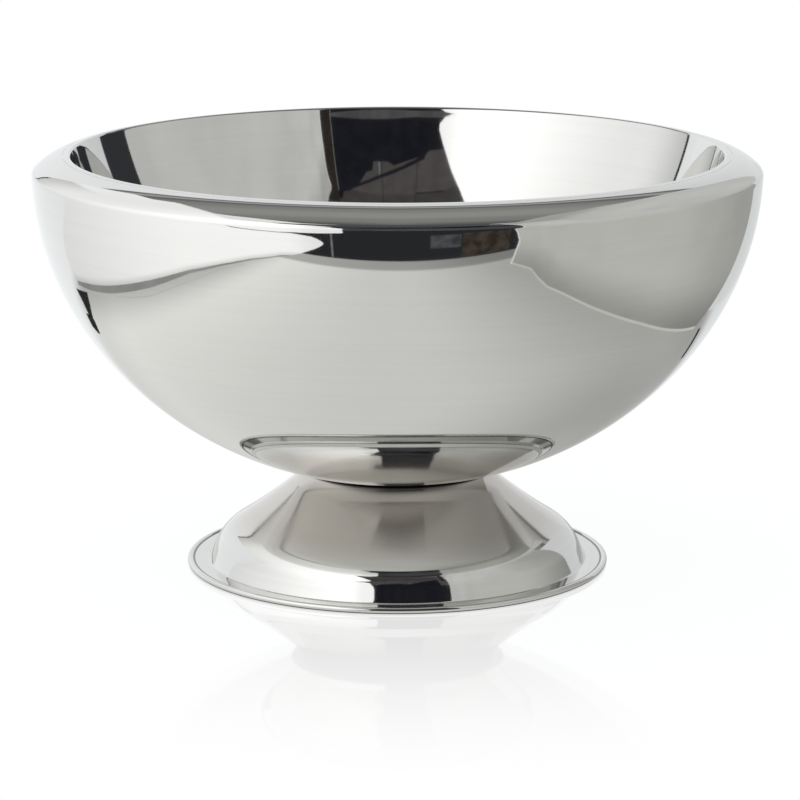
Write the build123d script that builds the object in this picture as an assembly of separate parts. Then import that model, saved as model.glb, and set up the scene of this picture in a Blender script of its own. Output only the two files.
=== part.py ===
from build123d import *
import math
import os

# Punch bowl: a double-walled bowl of polished stainless steel on a spun pedestal foot.
# Millimetres. Z is the axis of the bowl, and the origin is the middle of its resting plane.
# Sheet pieces are turned about Z from half sections, drawn as (radius, height).

# Overall size
RIM_RADIUS = 200.0
HEIGHT = 230.8
FOOT_RADIUS = 117.3

# Sheet
SHELL_SHEET = 0.8
FOOT_SHEET = 1.0

# Outer shell: half an ellipsoid under a rounded shoulder and a gently domed rim band
SHELL_EQUATOR_Z = 225.0
SHELL_DEPTH = 177.1
SHOULDER_START_Z = 219.5
SHOULDER_RADIUS = 4.0
BAND_RADIUS = 32.0
SEAT_Z = 55.4

# Liner: part of an ellipsoid, which leans out from the vertical at the lip and has a spherical
# cap at the bottom, and its seam with the shell
OPENING_RADIUS = 178.5
LINER_BOTTOM_Z = 66.0
LINER_LEAN = 15.0
LINER_CAP_RADIUS = 45.0
LIP_RADIUS = 1.6
HEM_LENGTH = 2.6
SEAM_GAP = 0.1
LAP_CLEARANCE = 0.05
TONGUE_START = 0.3

# Foot, from its top plate down. Slopes are degrees from the vertical
FOOT_TOP_Z = 54.9
NECK_TOP_RADIUS = 53.6
NECK_CORNER_RADIUS = 1.6
NECK_TOP_SLOPE = 21.0
NECK_CURVE_RADIUS = 20.7
FLARE_TOP_SLOPE = 50.0
FLARE_CURVE_RADIUS = 293.0
FLARE_FOOT_SLOPE = 57.7
DOME_CURVE_RADIUS = 27.5
DOME_FOOT_SLOPE = 25.0
FLANGE_CORNER_RADIUS = 1.0
FLANGE_TOP_Z = 2.5

# Rolled bead round the flange, pressed flat where it stands
GROOVE_RADIUS = 1.0
BEAD_RADIUS = 1.7
BEAD_FLAT = 0.1
BEAD_CURL = 240.0

# Fixing of the foot: M8 weld stud, washers and nut
STUD_RADIUS = 4.0
STUD_HOLE_RADIUS = 4.3
STUD_HEAD_RADIUS = 9.0
STUD_HEAD_HEIGHT = 2.5
STUD_END_Z = 38.5
THREAD_PITCH = 1.25
THREAD_DEPTH = 0.6
THREAD_TURNS = 9
PLATE_RADIUS = 46.0
PLATE_THICKNESS = 2.0
GASKET_RADIUS = 50.0
WASHER_RADIUS = 12.0
WASHER_THICKNESS = 2.0
LOCK_WASHER_RADIUS = 7.4
LOCK_WASHER_THICKNESS = 2.0
LOCK_WASHER_SLIT = 1.5
LOCK_WASHER_SLANT = 25.0
NUT_BORE_RADIUS = 4.05
NUT_WIDTH = 13.0
NUT_HEIGHT = 6.8
NUT_FACE_RADIUS = 6.2
NUT_CHAMFER = 1.0
PLATE_CHAMFER = 0.4

# Spacer pad between the two walls
PAD_INNER_RADIUS = 14.0
PAD_OUTER_RADIUS = 40.0
PAD_CLEARANCE = 0.15

# Levels that follow from the sizes above
SHELL_FLOOR_Z = SEAT_Z + SHELL_SHEET
PLATE_TOP_Z = SHELL_FLOOR_Z + PLATE_THICKNESS
WASHER_TOP_Z = FOOT_TOP_Z - FOOT_SHEET
LOCK_WASHER_TOP_Z = WASHER_TOP_Z - WASHER_THICKNESS
NUT_TOP_Z = LOCK_WASHER_TOP_Z - LOCK_WASHER_THICKNESS

# Centres of the lip and of the bead in the half section
LIP_CENTRE = (OPENING_RADIUS + LIP_RADIUS, HEIGHT - LIP_RADIUS)
BEAD_CENTRE = (FOOT_RADIUS - BEAD_RADIUS, BEAD_RADIUS - BEAD_FLAT)


def polar(centre, radius, angle):
    """Point on a circle in the half section, at an angle in degrees."""
    turn = math.radians(angle)
    return (centre[0] + radius * math.cos(turn), centre[1] + radius * math.sin(turn))


def arc(centre, radius, start, end):
    """Arc of a circle between two angles in degrees."""
    return ThreePointArc(
        polar(centre, radius, start),
        polar(centre, radius, (start + end) / 2),
        polar(centre, radius, end),
    )


def turned(*outline):
    """Solid of revolution about Z from the closed edges of a half section."""
    return revolve(Plane.XZ * make_face(outline), Axis.Z)


def ring(inner, outer, bottom, top):
    """Flat ring about Z."""
    disc = Pos(0, 0, (bottom + top) / 2) * Cylinder(outer, top - bottom)
    hole = Pos(0, 0, (bottom + top) / 2) * Cylinder(inner, top - bottom)
    return disc - hole


# Outer shell


def shell_angle(height, inset):
    """Angle on the wall's ellipse at a height, in degrees, for a face inset from the outside."""
    return math.degrees(math.asin((height - SHELL_EQUATOR_Z) / (SHELL_DEPTH - inset)))


def shoulder_circle(inset):
    """Centre of the shoulder's arc, and the direction in which the wall meets it."""
    across = RIM_RADIUS - inset
    down = SHELL_DEPTH - inset
    angle = math.radians(shell_angle(SHOULDER_START_Z, 0))
    wall_end = (across * math.cos(angle), SHELL_EQUATOR_Z + down * math.sin(angle))
    normal = math.degrees(math.atan2(across * math.sin(angle), down * math.cos(angle)))
    return polar(wall_end, inset - SHOULDER_RADIUS, normal), normal


def band_circle():
    """Centre of the rim band's arc, and the directions in which it meets the shoulder and lip."""
    shoulder, _ = shoulder_circle(0)
    across = shoulder[0] - LIP_CENTRE[0]
    up = shoulder[1] - LIP_CENTRE[1]
    gap = math.hypot(across, up)
    to_lip = BAND_RADIUS - LIP_RADIUS
    to_shoulder = BAND_RADIUS - SHOULDER_RADIUS
    corner = math.acos((gap**2 + to_lip**2 - to_shoulder**2) / (2 * gap * to_lip))
    lip_normal = math.degrees(math.atan2(up, across) - corner) + 180
    centre = polar(LIP_CENTRE, -to_lip, lip_normal)
    rise = math.atan2(shoulder[1] - centre[1], shoulder[0] - centre[0])
    return centre, math.degrees(rise), lip_normal


def band_width():
    """Length of the rim band's arc, from the lip to the shoulder."""
    _, shoulder_normal, lip_normal = band_circle()
    return math.radians(lip_normal - shoulder_normal) * BAND_RADIUS


def band_point(along, depth):
    """Point of the rim band: so far down from the lip, and so deep under its face."""
    centre, _, lip_normal = band_circle()
    return polar(centre, BAND_RADIUS - depth, lip_normal - math.degrees(along / BAND_RADIUS))


def band_arc(first, last, depth):
    """Stretch of the rim band between two distances from the lip, at a depth under its face."""
    middle = (first + last) / 2
    return ThreePointArc(band_point(first, depth), band_point(middle, depth), band_point(last, depth))


def shell_face(inset):
    """Edges of the wall and the shoulder, from the seat up to the rim band."""
    floor_angle = shell_angle(SEAT_Z + inset, inset)
    wall = EllipticalCenterArc(
        (0, SHELL_EQUATOR_Z),
        RIM_RADIUS - inset,
        SHELL_DEPTH - inset,
        start_angle=floor_angle,
        arc_size=shell_angle(SHOULDER_START_Z, 0) - floor_angle,
    )
    centre, normal = shoulder_circle(inset)
    return wall, arc(centre, SHOULDER_RADIUS - inset, normal, band_circle()[1])


def outer_shell():
    """Outer wall with a flat seat for the foot, and an edge stepped down to pass under the hem."""
    seam = HEM_LENGTH + SEAM_GAP
    step = seam + SHELL_SHEET
    sunk = SHELL_SHEET + LAP_CLEARANCE
    outer_wall, outer_shoulder = shell_face(0)
    inner_wall, inner_shoulder = shell_face(SHELL_SHEET)
    band = band_arc(band_width(), seam, 0)
    tongue_top = band_arc(seam, TONGUE_START, sunk)
    tongue_under = band_arc(TONGUE_START, step, sunk + SHELL_SHEET)
    band_under = ThreePointArc(
        band_point(step, SHELL_SHEET),
        band_point((step + band_width()) / 2, SHELL_SHEET),
        inner_shoulder @ 1,
    )
    seat = Polyline(
        inner_wall @ 0,
        (STUD_HOLE_RADIUS, SHELL_FLOOR_Z),
        (STUD_HOLE_RADIUS, SEAT_Z),
        outer_wall @ 0,
    )
    return turned(
        outer_wall,
        outer_shoulder,
        band,
        Line(band @ 1, tongue_top @ 0),
        tongue_top,
        Line(tongue_top @ 1, tongue_under @ 0),
        tongue_under,
        Line(tongue_under @ 1, band_under @ 0),
        band_under,
        inner_shoulder,
        inner_wall,
        seat,
    )


# Liner


def liner_ellipse(outset):
    """Half axes and centre height of the wall's ellipse, and its angle in degrees at the lip."""
    lean = math.radians(LINER_LEAN)
    lip = polar(LIP_CENTRE, LIP_RADIUS - outset, 180 - LINER_LEAN)
    height = lip[1] - LINER_BOTTOM_Z + outset
    slope = height * math.tan(lean) / lip[0]
    share = slope / (1 - slope)
    down = height / (1 - share)
    across = lip[0] / math.sqrt(1 - share**2)
    level = LINER_BOTTOM_Z - outset + down
    return across, down, level, -math.degrees(math.asin(share))


def liner_cap(outset):
    """Centre and radius of the sphere that closes the liner, and the angle where it ends."""
    across, down, level, _ = liner_ellipse(outset)
    angle = -math.acos(LINER_CAP_RADIUS / across)
    centre = (0, level + (down - across**2 / down) * math.sin(angle))
    edge = (LINER_CAP_RADIUS, level + down * math.sin(angle))
    edge_angle = math.degrees(math.atan2(edge[1] - centre[1], edge[0]))
    return centre, math.dist(centre, edge), edge_angle


def liner_face(outset):
    """Edges of the liner's wall from the axis up to the lip, outset from the inside face."""
    across, down, level, lip_angle = liner_ellipse(outset)
    centre, radius, edge_angle = liner_cap(outset)
    cap_angle = -math.degrees(math.acos(LINER_CAP_RADIUS / across))
    wall = EllipticalCenterArc(
        (0, level),
        across,
        down,
        start_angle=cap_angle,
        arc_size=lip_angle - cap_angle,
    )
    return arc(centre, radius, -90, edge_angle), wall


def inner_bowl():
    """Liner, whose lip rolls over and ends in a hem on the rim band."""
    inner_cap, inner_wall = liner_face(0)
    outer_cap, outer_wall = liner_face(SHELL_SHEET)
    lip_normal = band_circle()[2]
    lip_top = arc(LIP_CENTRE, LIP_RADIUS, 180 - LINER_LEAN, lip_normal)
    lip_under = arc(LIP_CENTRE, LIP_RADIUS - SHELL_SHEET, 180 - LINER_LEAN, lip_normal)
    hem_top = band_arc(0, HEM_LENGTH, 0)
    hem_under = band_arc(0, HEM_LENGTH, SHELL_SHEET)
    return turned(
        inner_cap,
        inner_wall,
        lip_top,
        hem_top,
        Line(hem_top @ 1, hem_under @ 1),
        hem_under,
        lip_under,
        outer_wall,
        outer_cap,
        Line(outer_cap @ 0, inner_cap @ 0),
    )


def spacer_pad():
    """Foam ring that fills the space under the liner, round the head of the stud."""
    centre, radius, _ = liner_cap(SHELL_SHEET + PAD_CLEARANCE)
    inner_angle = -math.degrees(math.acos(PAD_INNER_RADIUS / radius))
    outer_angle = -math.degrees(math.acos(PAD_OUTER_RADIUS / radius))
    top = arc(centre, radius, inner_angle, outer_angle)
    bottom_z = PLATE_TOP_Z + PAD_CLEARANCE
    sides = Polyline(
        top @ 1,
        (PAD_OUTER_RADIUS, bottom_z),
        (PAD_INNER_RADIUS, bottom_z),
        top @ 0,
    )
    return turned(top, sides)


# Foot


def sheet_path(start, heading, moves, inset=0.0):
    """Face of a bent sheet, walked from a start point; an inset face lies to the right.

    A move is (turn, size): a straight of that length if turn is 0, else an arc of that radius
    through turn degrees, to the left if positive. Returns the edges and the last point.
    """
    point = polar(start, inset, heading - 90)
    edges = []
    for turn, size in moves:
        if turn == 0:
            end = polar(point, size, heading)
            edges.append(Line(point, end))
        else:
            side = math.copysign(1, turn)
            radius = size + side * inset
            centre = polar(point, radius, heading + 90 * side)
            first = heading - 90 * side
            end = polar(centre, radius, first + turn)
            edges.append(arc(centre, radius, first, first + turn))
            heading = heading + turn
        point = end
    return edges, point


def foot_moves(start):
    """Moves along the visible face of the foot, from the stud hole to the end of the bead."""
    upper = [
        (0, NECK_TOP_RADIUS - NECK_CORNER_RADIUS - start[0]),
        (NECK_TOP_SLOPE - 90, NECK_CORNER_RADIUS),
        (FLARE_TOP_SLOPE - NECK_TOP_SLOPE, NECK_CURVE_RADIUS),
        (FLARE_FOOT_SLOPE - FLARE_TOP_SLOPE, FLARE_CURVE_RADIUS),
        (DOME_FOOT_SLOPE - FLARE_FOOT_SLOPE, DOME_CURVE_RADIUS),
    ]
    _, dome_end = sheet_path(start, 0, upper)
    slope = math.radians(DOME_FOOT_SLOPE)
    corner_drop = FLANGE_CORNER_RADIUS * (1 - math.sin(slope))
    skirt = (dome_end[1] - FLANGE_TOP_Z - corner_drop) / math.cos(slope)
    upper.append((0, skirt))
    upper.append((90 - DOME_FOOT_SLOPE, FLANGE_CORNER_RADIUS))
    _, flange_start = sheet_path(start, 0, upper)
    reach = BEAD_RADIUS + GROOVE_RADIUS
    rise = math.acos((FLANGE_TOP_Z + GROOVE_RADIUS - BEAD_CENTRE[1]) / reach)
    flange = BEAD_CENTRE[0] - reach * math.sin(rise) - flange_start[0]
    rise_angle = math.degrees(rise)
    lower = [
        (0, flange),
        (rise_angle, GROOVE_RADIUS),
        (-rise_angle - BEAD_CURL, BEAD_RADIUS),
    ]
    return upper + lower


def pedestal_foot():
    """Foot spun from one sheet, with its edge rolled into a bead."""
    start = (STUD_HOLE_RADIUS, FOOT_TOP_Z)
    moves = foot_moves(start)
    visible, visible_end = sheet_path(start, 0, moves)
    hidden, hidden_end = sheet_path(start, 0, moves, FOOT_SHEET)
    hole_wall = Line(start, (STUD_HOLE_RADIUS, WASHER_TOP_Z))
    section = make_face([*visible, Line(visible_end, hidden_end), *hidden, hole_wall])
    above_table = Pos(RIM_RADIUS / 2, HEIGHT / 2) * Rectangle(RIM_RADIUS, HEIGHT)
    return revolve(Plane.XZ * (section & above_table), Axis.Z)


# Fixing


def base_plate():
    """Plate welded inside the shell, which spreads the pull of the stud."""
    plate = ring(STUD_HOLE_RADIUS, PLATE_RADIUS, SHELL_FLOOR_Z, PLATE_TOP_Z)
    rim_edge = plate.edges().sort_by(Axis.Z)[-2:].sort_by(SortBy.RADIUS)[-1]
    return chamfer(rim_edge, PLATE_CHAMFER)


def foot_stud():
    """Stud with a flat head on the base plate and a thread at its lower end."""
    points = [(0, STUD_END_Z), (STUD_RADIUS - THREAD_DEPTH, STUD_END_Z)]
    for turn in range(THREAD_TURNS):
        crest_z = STUD_END_Z + (turn + 0.5) * THREAD_PITCH
        points.append((STUD_RADIUS, crest_z))
        points.append((STUD_RADIUS - THREAD_DEPTH, crest_z + THREAD_PITCH / 2))
    thread_end_z = STUD_END_Z + THREAD_TURNS * THREAD_PITCH
    head_top_z = PLATE_TOP_Z + STUD_HEAD_HEIGHT
    points.append((STUD_RADIUS, thread_end_z + THREAD_PITCH / 2))
    points.append((STUD_RADIUS, PLATE_TOP_Z))
    points.append((STUD_HEAD_RADIUS, PLATE_TOP_Z))
    points.append((STUD_HEAD_RADIUS, head_top_z - PLATE_CHAMFER))
    points.append((STUD_HEAD_RADIUS - PLATE_CHAMFER, head_top_z))
    points.append((0, head_top_z))
    return turned(Polyline(*points, close=True))


def seat_gasket():
    """Thin seal between the seat of the shell and the top plate of the foot."""
    return ring(STUD_HOLE_RADIUS, GASKET_RADIUS, FOOT_TOP_Z, SEAT_Z)


def flat_washer():
    """Large washer against the inside of the top plate."""
    washer = ring(STUD_HOLE_RADIUS, WASHER_RADIUS, LOCK_WASHER_TOP_Z, WASHER_TOP_Z)
    lower_edge = washer.edges().sort_by(Axis.Z)[:2].sort_by(SortBy.RADIUS)[-1]
    return chamfer(lower_edge, PLATE_CHAMFER)


def lock_washer():
    """Split spring washer."""
    washer = ring(STUD_HOLE_RADIUS, LOCK_WASHER_RADIUS, NUT_TOP_Z, LOCK_WASHER_TOP_Z)
    middle_z = (NUT_TOP_Z + LOCK_WASHER_TOP_Z) / 2
    slit = Box(LOCK_WASHER_RADIUS, LOCK_WASHER_SLIT, 3 * LOCK_WASHER_THICKNESS)
    place = Pos(LOCK_WASHER_RADIUS, 0, middle_z) * Rot(LOCK_WASHER_SLANT, 0, 0)
    return washer - place * slit


def hex_nut():
    """Hexagon nut, chamfered on both faces."""
    bottom_z = NUT_TOP_Z - NUT_HEIGHT
    hexagon = RegularPolygon(NUT_WIDTH / 2, 6, major_radius=False)
    prism = Pos(0, 0, bottom_z) * extrude(hexagon, NUT_HEIGHT)
    corner_radius = NUT_WIDTH / math.sqrt(3)
    rounding = Polyline(
        (NUT_BORE_RADIUS, bottom_z),
        (NUT_FACE_RADIUS, bottom_z),
        (corner_radius, bottom_z + NUT_CHAMFER),
        (corner_radius, NUT_TOP_Z - NUT_CHAMFER),
        (NUT_FACE_RADIUS, NUT_TOP_Z),
        (NUT_BORE_RADIUS, NUT_TOP_Z),
        close=True,
    )
    return prism & turned(rounding)


PIECES = {
    "inner_bowl": inner_bowl,
    "outer_shell": outer_shell,
    "base_plate": base_plate,
    "spacer_pad": spacer_pad,
    "foot_stud": foot_stud,
    "seat_gasket": seat_gasket,
    "pedestal_foot": pedestal_foot,
    "flat_washer": flat_washer,
    "lock_washer": lock_washer,
    "hex_nut": hex_nut,
}

os.makedirs("parts", exist_ok=True)
for name, build in PIECES.items():
    export_step(build(), f"parts/{name}.step")
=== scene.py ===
import math

import bmesh
import bpy
import numpy as np
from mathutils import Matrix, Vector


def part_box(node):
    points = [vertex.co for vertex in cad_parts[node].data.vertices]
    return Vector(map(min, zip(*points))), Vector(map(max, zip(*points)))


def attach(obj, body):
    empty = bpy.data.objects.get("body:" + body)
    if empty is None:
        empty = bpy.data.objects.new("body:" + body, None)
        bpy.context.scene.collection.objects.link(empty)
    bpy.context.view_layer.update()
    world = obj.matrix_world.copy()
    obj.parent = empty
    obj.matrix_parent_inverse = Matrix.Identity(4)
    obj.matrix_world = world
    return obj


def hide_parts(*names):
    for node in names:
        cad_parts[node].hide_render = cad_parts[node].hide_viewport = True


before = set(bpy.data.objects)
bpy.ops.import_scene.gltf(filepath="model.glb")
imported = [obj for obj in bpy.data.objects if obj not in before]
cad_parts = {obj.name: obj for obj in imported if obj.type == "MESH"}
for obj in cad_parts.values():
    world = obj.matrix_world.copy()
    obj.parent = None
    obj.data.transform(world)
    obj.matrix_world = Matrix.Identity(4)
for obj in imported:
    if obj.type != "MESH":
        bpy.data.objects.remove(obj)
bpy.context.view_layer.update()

# A double-walled punch bowl of polished steel on a spun pedestal foot. The three large sheet
# pieces are turned again here as fine, smooth meshes, because mirror-polished steel shows every
# facet. The small fixing parts keep their CAD shape.

MM = 0.001


# Sizes of the sheet pieces, in millimetres and degrees. The first five are read from the CAD
# nodes. The others repeat part.py's values, because a node's box doesn't give them, so a change
# there has to be made here too. check_box only notices one that changes a box.


def low(node, axis):
    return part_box(node)[0][axis] / MM


def high(node, axis):
    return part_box(node)[1][axis] / MM


X_AXIS, Z_AXIS = 0, 2

HEIGHT = high("inner_bowl", Z_AXIS)
SEAT_Z = low("outer_shell", Z_AXIS)
FOOT_RADIUS = high("pedestal_foot", X_AXIS)
FOOT_TOP_Z = high("pedestal_foot", Z_AXIS)
LINER_FLOOR_Z = low("inner_bowl", Z_AXIS)

SHELL_SHEET = 0.8
FOOT_SHEET = 1.0
STUD_HOLE_RADIUS = 4.3

WALL_RADIUS = 200.0
WALL_EQUATOR_Z = 225.0
WALL_DEPTH = 177.1
SHOULDER_START_Z = 219.5
SHOULDER_RADIUS = 4.0

OPENING_RADIUS = 178.5
LINER_CAP_RADIUS = 45.0
LIP_RADIUS = 1.6
LINER_LEAN = 15.0
BAND_RADIUS = 32.0
HEM_LENGTH = 2.6
SEAM_GAP = 0.1
LAP_CLEARANCE = 0.05
TONGUE_START = 0.3

NECK_TOP_RADIUS = 53.6
NECK_CORNER_RADIUS = 1.6
NECK_TOP_SLOPE = 21.0
NECK_CURVE_RADIUS = 20.7
FLARE_TOP_SLOPE = 50.0
FLARE_CURVE_RADIUS = 293.0
FLARE_FOOT_SLOPE = 57.7
DOME_CURVE_RADIUS = 27.5
DOME_FOOT_SLOPE = 25.0
FLANGE_CORNER_RADIUS = 1.0
FLANGE_TOP_Z = 2.5
GROOVE_RADIUS = 1.0
BEAD_RADIUS = 1.7
BEAD_FLAT = 0.1
BEAD_CURL = 240.0

LIP_CENTRE = (OPENING_RADIUS + LIP_RADIUS, HEIGHT - LIP_RADIUS)
LINER_BOTTOM_Z = LINER_FLOOR_Z + SHELL_SHEET
BEAD_CENTRE = (FOOT_RADIUS - BEAD_RADIUS, BEAD_RADIUS - BEAD_FLAT)

# Fineness of the turned meshes: lengths in millimetres, angles in degrees
SEGMENTS = 360
SPACING = 2.0
ARC_STEP = 4.0
BOX_TOLERANCE = 0.3
JOIN_GAP = 0.01
ON_AXIS = 1e-6
SHARP_ANGLE = 30.0


# Outlines of the half sections, as lists of (radius, height)


def polar(centre, radius, angle):
    turn = math.radians(angle)
    return (centre[0] + radius * math.cos(turn), centre[1] + radius * math.sin(turn))


def arc(centre, radius, start, end):
    """Points on an arc, close enough for both its turn and its length."""
    length = abs(radius) * math.radians(abs(end - start))
    count = max(2, math.ceil(abs(end - start) / ARC_STEP), math.ceil(length / SPACING))
    return [polar(centre, radius, start + (end - start) * i / count) for i in range(count + 1)]


def ellipse(centre_z, across, down, start, end):
    """Points on an ellipse about the axis, between two angles in degrees."""
    count = math.ceil(math.radians(end - start) * across / SPACING)
    points = []
    for i in range(count + 1):
        angle = math.radians(start + (end - start) * i / count)
        points.append((across * math.cos(angle), centre_z + down * math.sin(angle)))
    return points


def straight(start, end):
    """Points on a straight line."""
    count = max(1, math.ceil(math.dist(start, end) / SPACING))
    return [
        (start[0] + (end[0] - start[0]) * i / count, start[1] + (end[1] - start[1]) * i / count)
        for i in range(count + 1)
    ]


def joined(*stretches):
    """One closed outline from stretches laid end to end, without repeated points."""
    outline = []
    for stretch in stretches:
        for point in stretch:
            if not outline or math.dist(point, outline[-1]) > JOIN_GAP:
                outline.append(point)
    if math.dist(outline[0], outline[-1]) < JOIN_GAP:
        outline.pop()
    return outline


def shell_angle(height, inset):
    return math.degrees(math.asin((height - WALL_EQUATOR_Z) / (WALL_DEPTH - inset)))


def shoulder_circle(inset):
    """Centre of the shoulder's arc, and the direction in which the wall meets it."""
    across = WALL_RADIUS - inset
    down = WALL_DEPTH - inset
    angle = math.radians(shell_angle(SHOULDER_START_Z, 0))
    wall_end = (across * math.cos(angle), WALL_EQUATOR_Z + down * math.sin(angle))
    normal = math.degrees(math.atan2(across * math.sin(angle), down * math.cos(angle)))
    return polar(wall_end, inset - SHOULDER_RADIUS, normal), normal


def band_circle():
    """Centre of the rim band's arc, and the directions in which it meets the shoulder and lip."""
    shoulder, _ = shoulder_circle(0)
    across = shoulder[0] - LIP_CENTRE[0]
    up = shoulder[1] - LIP_CENTRE[1]
    gap = math.hypot(across, up)
    to_lip = BAND_RADIUS - LIP_RADIUS
    to_shoulder = BAND_RADIUS - SHOULDER_RADIUS
    corner = math.acos((gap**2 + to_lip**2 - to_shoulder**2) / (2 * gap * to_lip))
    lip_normal = math.degrees(math.atan2(up, across) - corner) + 180
    centre = polar(LIP_CENTRE, -to_lip, lip_normal)
    rise = math.atan2(shoulder[1] - centre[1], shoulder[0] - centre[0])
    return centre, math.degrees(rise), lip_normal


def band_arc(first, last, depth):
    """Stretch of the rim band between two distances from the lip, at a depth under its face."""
    centre, _, lip_normal = band_circle()
    angles = [lip_normal - math.degrees(along / BAND_RADIUS) for along in (first, last)]
    return arc(centre, BAND_RADIUS - depth, *angles)


def shell_face(inset):
    """Wall and shoulder, from the seat up to the rim band."""
    start = shell_angle(SEAT_Z + inset, inset)
    end = shell_angle(SHOULDER_START_Z, 0)
    centre, normal = shoulder_circle(inset)
    wall = ellipse(WALL_EQUATOR_Z, WALL_RADIUS - inset, WALL_DEPTH - inset, start, end)
    return wall + arc(centre, SHOULDER_RADIUS - inset, normal, band_circle()[1])


def shell_outline():
    _, shoulder_normal, lip_normal = band_circle()
    width = math.radians(lip_normal - shoulder_normal) * BAND_RADIUS
    seam = HEM_LENGTH + SEAM_GAP
    step = seam + SHELL_SHEET
    sunk = SHELL_SHEET + LAP_CLEARANCE
    outer = shell_face(0)
    inner = shell_face(SHELL_SHEET)
    return joined(
        straight((STUD_HOLE_RADIUS, SEAT_Z), outer[0]),
        outer,
        band_arc(width, seam, 0),
        band_arc(seam, TONGUE_START, sunk),
        band_arc(TONGUE_START, step, sunk + SHELL_SHEET),
        band_arc(step, width, SHELL_SHEET),
        inner[::-1],
        straight(inner[0], (STUD_HOLE_RADIUS, SEAT_Z + SHELL_SHEET)),
    )


def liner_face(outset):
    """Liner's wall from the axis up to the lip, with a spherical cap in the middle."""
    lean = math.radians(LINER_LEAN)
    lip = polar(LIP_CENTRE, LIP_RADIUS - outset, 180 - LINER_LEAN)
    bottom = LINER_BOTTOM_Z - outset
    slope = (lip[1] - bottom) * math.tan(lean) / lip[0]
    share = slope / (1 - slope)
    down = (lip[1] - bottom) / (1 - share)
    across = lip[0] / math.sqrt(1 - share**2)
    level = bottom + down
    angle = -math.acos(LINER_CAP_RADIUS / across)
    centre = (0, level + (down - across**2 / down) * math.sin(angle))
    edge = (across * math.cos(angle), level + down * math.sin(angle))
    edge_angle = math.degrees(math.atan2(edge[1] - centre[1], edge[0]))
    wall = ellipse(level, across, down, math.degrees(angle), -math.degrees(math.asin(share)))
    return arc(centre, math.dist(centre, edge), -90, edge_angle) + wall


def liner_outline():
    lip_normal = band_circle()[2]
    lip_start = 180 - LINER_LEAN
    return joined(
        liner_face(SHELL_SHEET),
        arc(LIP_CENTRE, LIP_RADIUS - SHELL_SHEET, lip_start, lip_normal),
        band_arc(0, HEM_LENGTH, SHELL_SHEET),
        band_arc(HEM_LENGTH, 0, 0),
        arc(LIP_CENTRE, LIP_RADIUS, lip_normal, lip_start),
        liner_face(0)[::-1],
    )


def sheet_path(start, heading, moves, inset=0.0):
    """Face of a bent sheet, walked from a start point; an inset face lies to the right.

    A move is (turn, size): a straight of that length if turn is 0, else an arc of that radius
    through turn degrees, to the left if positive.
    """
    point = polar(start, inset, heading - 90)
    points = [point]
    for turn, size in moves:
        if turn == 0:
            points += straight(point, polar(point, size, heading))
        else:
            side = math.copysign(1, turn)
            radius = size + side * inset
            first = heading - 90 * side
            points += arc(polar(point, radius, heading + 90 * side), radius, first, first + turn)
            heading = heading + turn
        point = points[-1]
    return points


def foot_moves(start):
    """Moves along the visible face of the foot, from the stud hole to the end of the bead."""
    upper = [
        (0, NECK_TOP_RADIUS - NECK_CORNER_RADIUS - start[0]),
        (NECK_TOP_SLOPE - 90, NECK_CORNER_RADIUS),
        (FLARE_TOP_SLOPE - NECK_TOP_SLOPE, NECK_CURVE_RADIUS),
        (FLARE_FOOT_SLOPE - FLARE_TOP_SLOPE, FLARE_CURVE_RADIUS),
        (DOME_FOOT_SLOPE - FLARE_FOOT_SLOPE, DOME_CURVE_RADIUS),
    ]
    dome_end = sheet_path(start, 0, upper)[-1]
    slope = math.radians(DOME_FOOT_SLOPE)
    corner_drop = FLANGE_CORNER_RADIUS * (1 - math.sin(slope))
    upper.append((0, (dome_end[1] - FLANGE_TOP_Z - corner_drop) / math.cos(slope)))
    upper.append((90 - DOME_FOOT_SLOPE, FLANGE_CORNER_RADIUS))
    flange_start = sheet_path(start, 0, upper)[-1]
    reach = BEAD_RADIUS + GROOVE_RADIUS
    rise = math.acos((FLANGE_TOP_Z + GROOVE_RADIUS - BEAD_CENTRE[1]) / reach)
    flange = BEAD_CENTRE[0] - reach * math.sin(rise) - flange_start[0]
    rise_angle = math.degrees(rise)
    return upper + [
        (0, flange),
        (rise_angle, GROOVE_RADIUS),
        (-rise_angle - BEAD_CURL, BEAD_RADIUS),
    ]


def foot_outline():
    start = (STUD_HOLE_RADIUS, FOOT_TOP_Z)
    moves = foot_moves(start)
    visible = sheet_path(start, 0, moves)
    hidden = sheet_path(start, 0, moves, FOOT_SHEET)
    outline = joined(visible, hidden[::-1])
    return [(radius, max(height, 0.0)) for radius, height in outline]


# Turned meshes


def ripple_field(angles, along, lobes, depth):
    """Faint unevenness of a spun sheet, in millimetres, over the angle and along the section."""
    field = np.zeros((len(along), len(angles)))
    for number, (count, pitch, phase) in enumerate(lobes):
        weight = depth / (1 + number)
        field += weight * np.sin(count * angles[None, :] + along[:, None] / pitch + phase)
    return field


def rippled(outline, angles, lobes, depth, keep):
    """Radius and height of each outline point at each angle, moved along the face's normal.

    lobes and depth give the ripple, and keep(height) is its share at a height.
    """
    section = np.array(outline)
    ahead = np.roll(section, -1, axis=0) - section
    behind = section - np.roll(section, 1, axis=0)
    direction = ahead / np.linalg.norm(ahead, axis=1)[:, None]
    direction += behind / np.linalg.norm(behind, axis=1)[:, None]
    direction /= np.linalg.norm(direction, axis=1)[:, None]
    along = np.concatenate([[0], np.cumsum(np.linalg.norm(ahead, axis=1))[:-1]])
    ripple = ripple_field(angles, along, lobes, depth)
    ripple *= np.array([keep(height) for _, height in outline])[:, None]
    radius = section[:, 0][:, None] + direction[:, 1][:, None] * ripple
    height = section[:, 1][:, None] - direction[:, 0][:, None] * ripple
    return radius, height


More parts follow.
